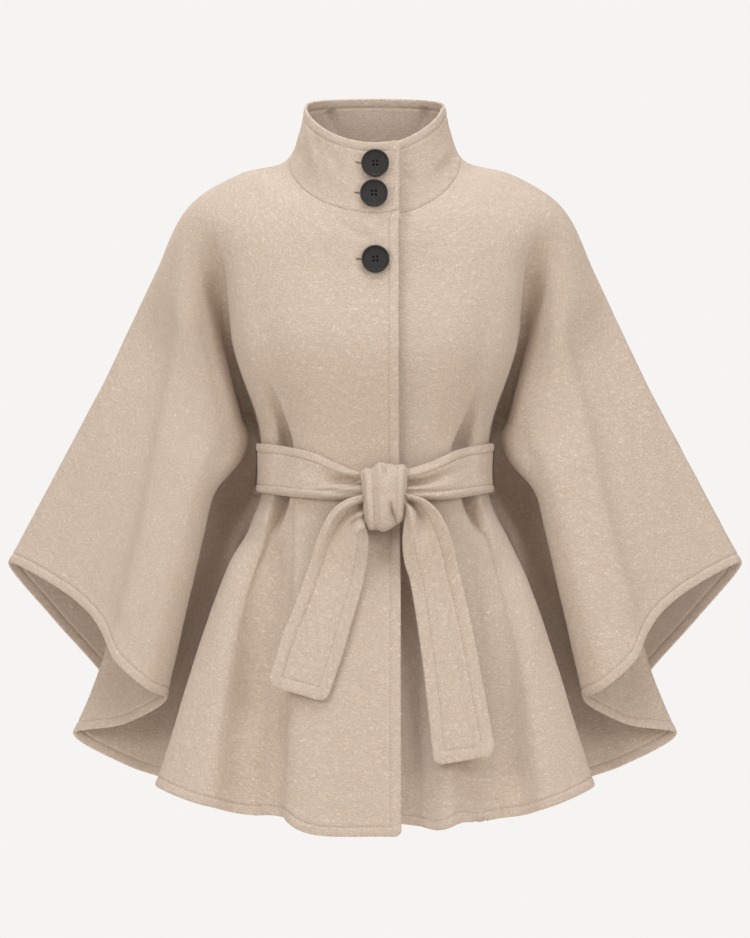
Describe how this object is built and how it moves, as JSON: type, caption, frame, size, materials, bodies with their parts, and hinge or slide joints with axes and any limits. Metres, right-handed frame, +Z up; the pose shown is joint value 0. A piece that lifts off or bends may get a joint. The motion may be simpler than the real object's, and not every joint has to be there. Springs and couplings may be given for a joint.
{
  "type": "belted poncho",
  "caption": "Belted wool poncho with wide arm wings, a lapped stand collar, large buttons and a tie belt knotted in front, filled out as worn.",
  "frame": {"origin": "middle of the neck base, level with the side neck points, where the wearer's shoulders hold the garment", "axes": "+Z up, the front faces -Y, +X to the wearer's left"},
  "size_m": [0.8242, 0.4063, 0.8187],
  "materials": {
    "brushed_wool": "brushed napped wool, matt, beige",
    "black_button": "satin black, moulded"
  },
  "bodies": {
    "root": {"front_right": "brushed_wool", "front_left": "brushed_wool", "back": "brushed_wool", "collar": "brushed_wool", "belt_band": "brushed_wool", "belt_knot": "brushed_wool", "belt_tail_right": "brushed_wool", "belt_tail_left": "brushed_wool", "button_top": "black_button", "button_middle": "black_button", "button_lower": "black_button"}
  },
  "joints": []
}
